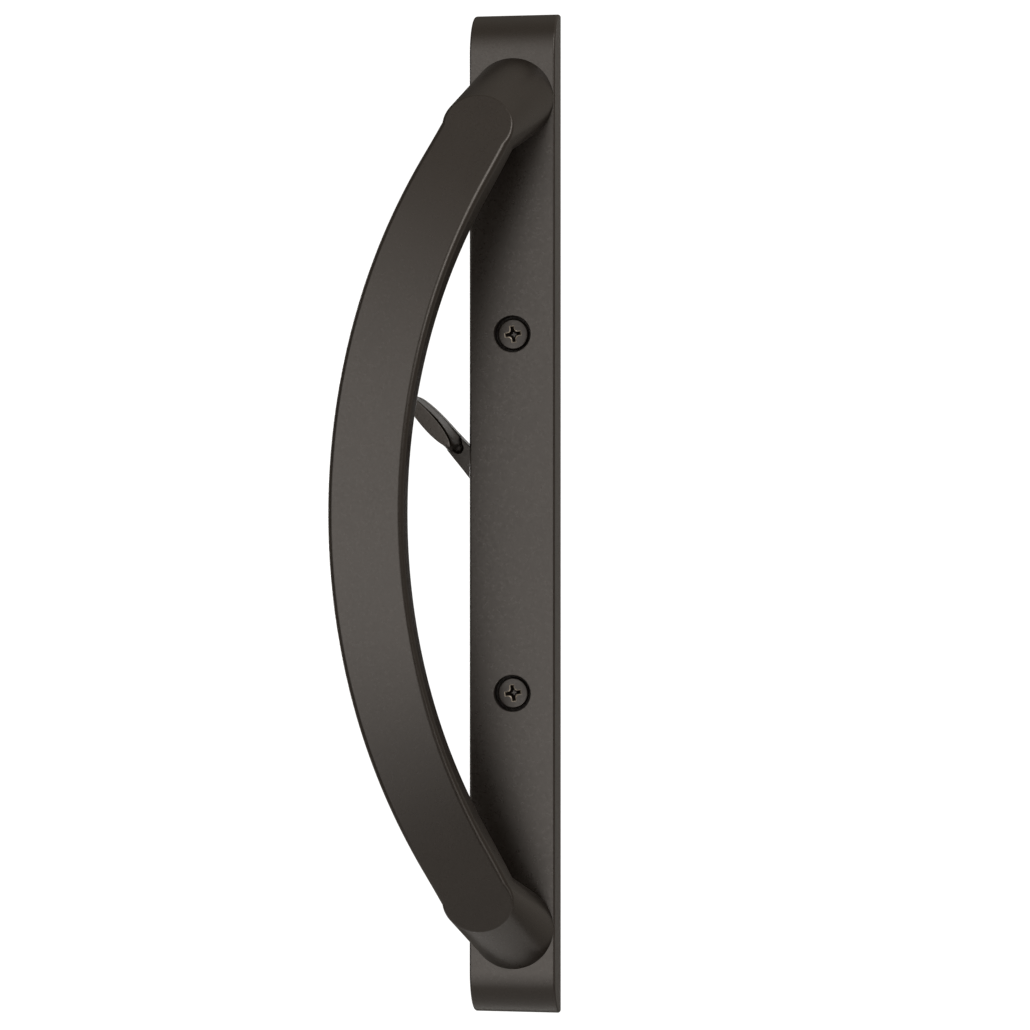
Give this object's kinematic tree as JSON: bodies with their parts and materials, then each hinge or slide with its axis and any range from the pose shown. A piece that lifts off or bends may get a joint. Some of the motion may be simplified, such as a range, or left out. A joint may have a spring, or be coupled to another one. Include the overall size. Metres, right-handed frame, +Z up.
{
  "type": "sliding patio door handle",
  "caption": "Interior pull for a sliding patio door: long escutcheon plate with rounded ends, bowed grip on leaning posts and a thumb lever that turns a tailpiece.",
  "frame": {"origin": "on the door face, half-way between the mounting screws and on the lever's axis", "axes": "+Z up along the plate, +Y into the door along the mounting screws, +X to the right seen from the room"},
  "size_m": [0.0531, 0.1081, 0.281],
  "materials": {
    "bronze_paint": "satin",
    "zinc_steel": "satin",
    "bearing_plastic": "matte"
  },
  "bodies": {
    "escutcheon": {"escutcheon_plate": "bronze_paint", "pull_handle": "bronze_paint", "mounting_screws": "bronze_paint", "handle_screws": "zinc_steel", "handle_lock_washers": "zinc_steel", "hub_bushing": "bearing_plastic", "thrust_washer": "bearing_plastic", "retainer_plate": "zinc_steel", "retainer_screws": "zinc_steel"},
    "lever": {"thumb_lever": "bronze_paint", "tailpiece": "zinc_steel", "tailpiece_pin": "zinc_steel"}
  },
  "joints": [
    {"name": "lever_turn", "type": "hinge", "parent": "escutcheon", "child": "lever", "pos_m": [0, 0, 0], "axis": [0, -1, 0], "range_deg": [0, 98]}
  ]
}
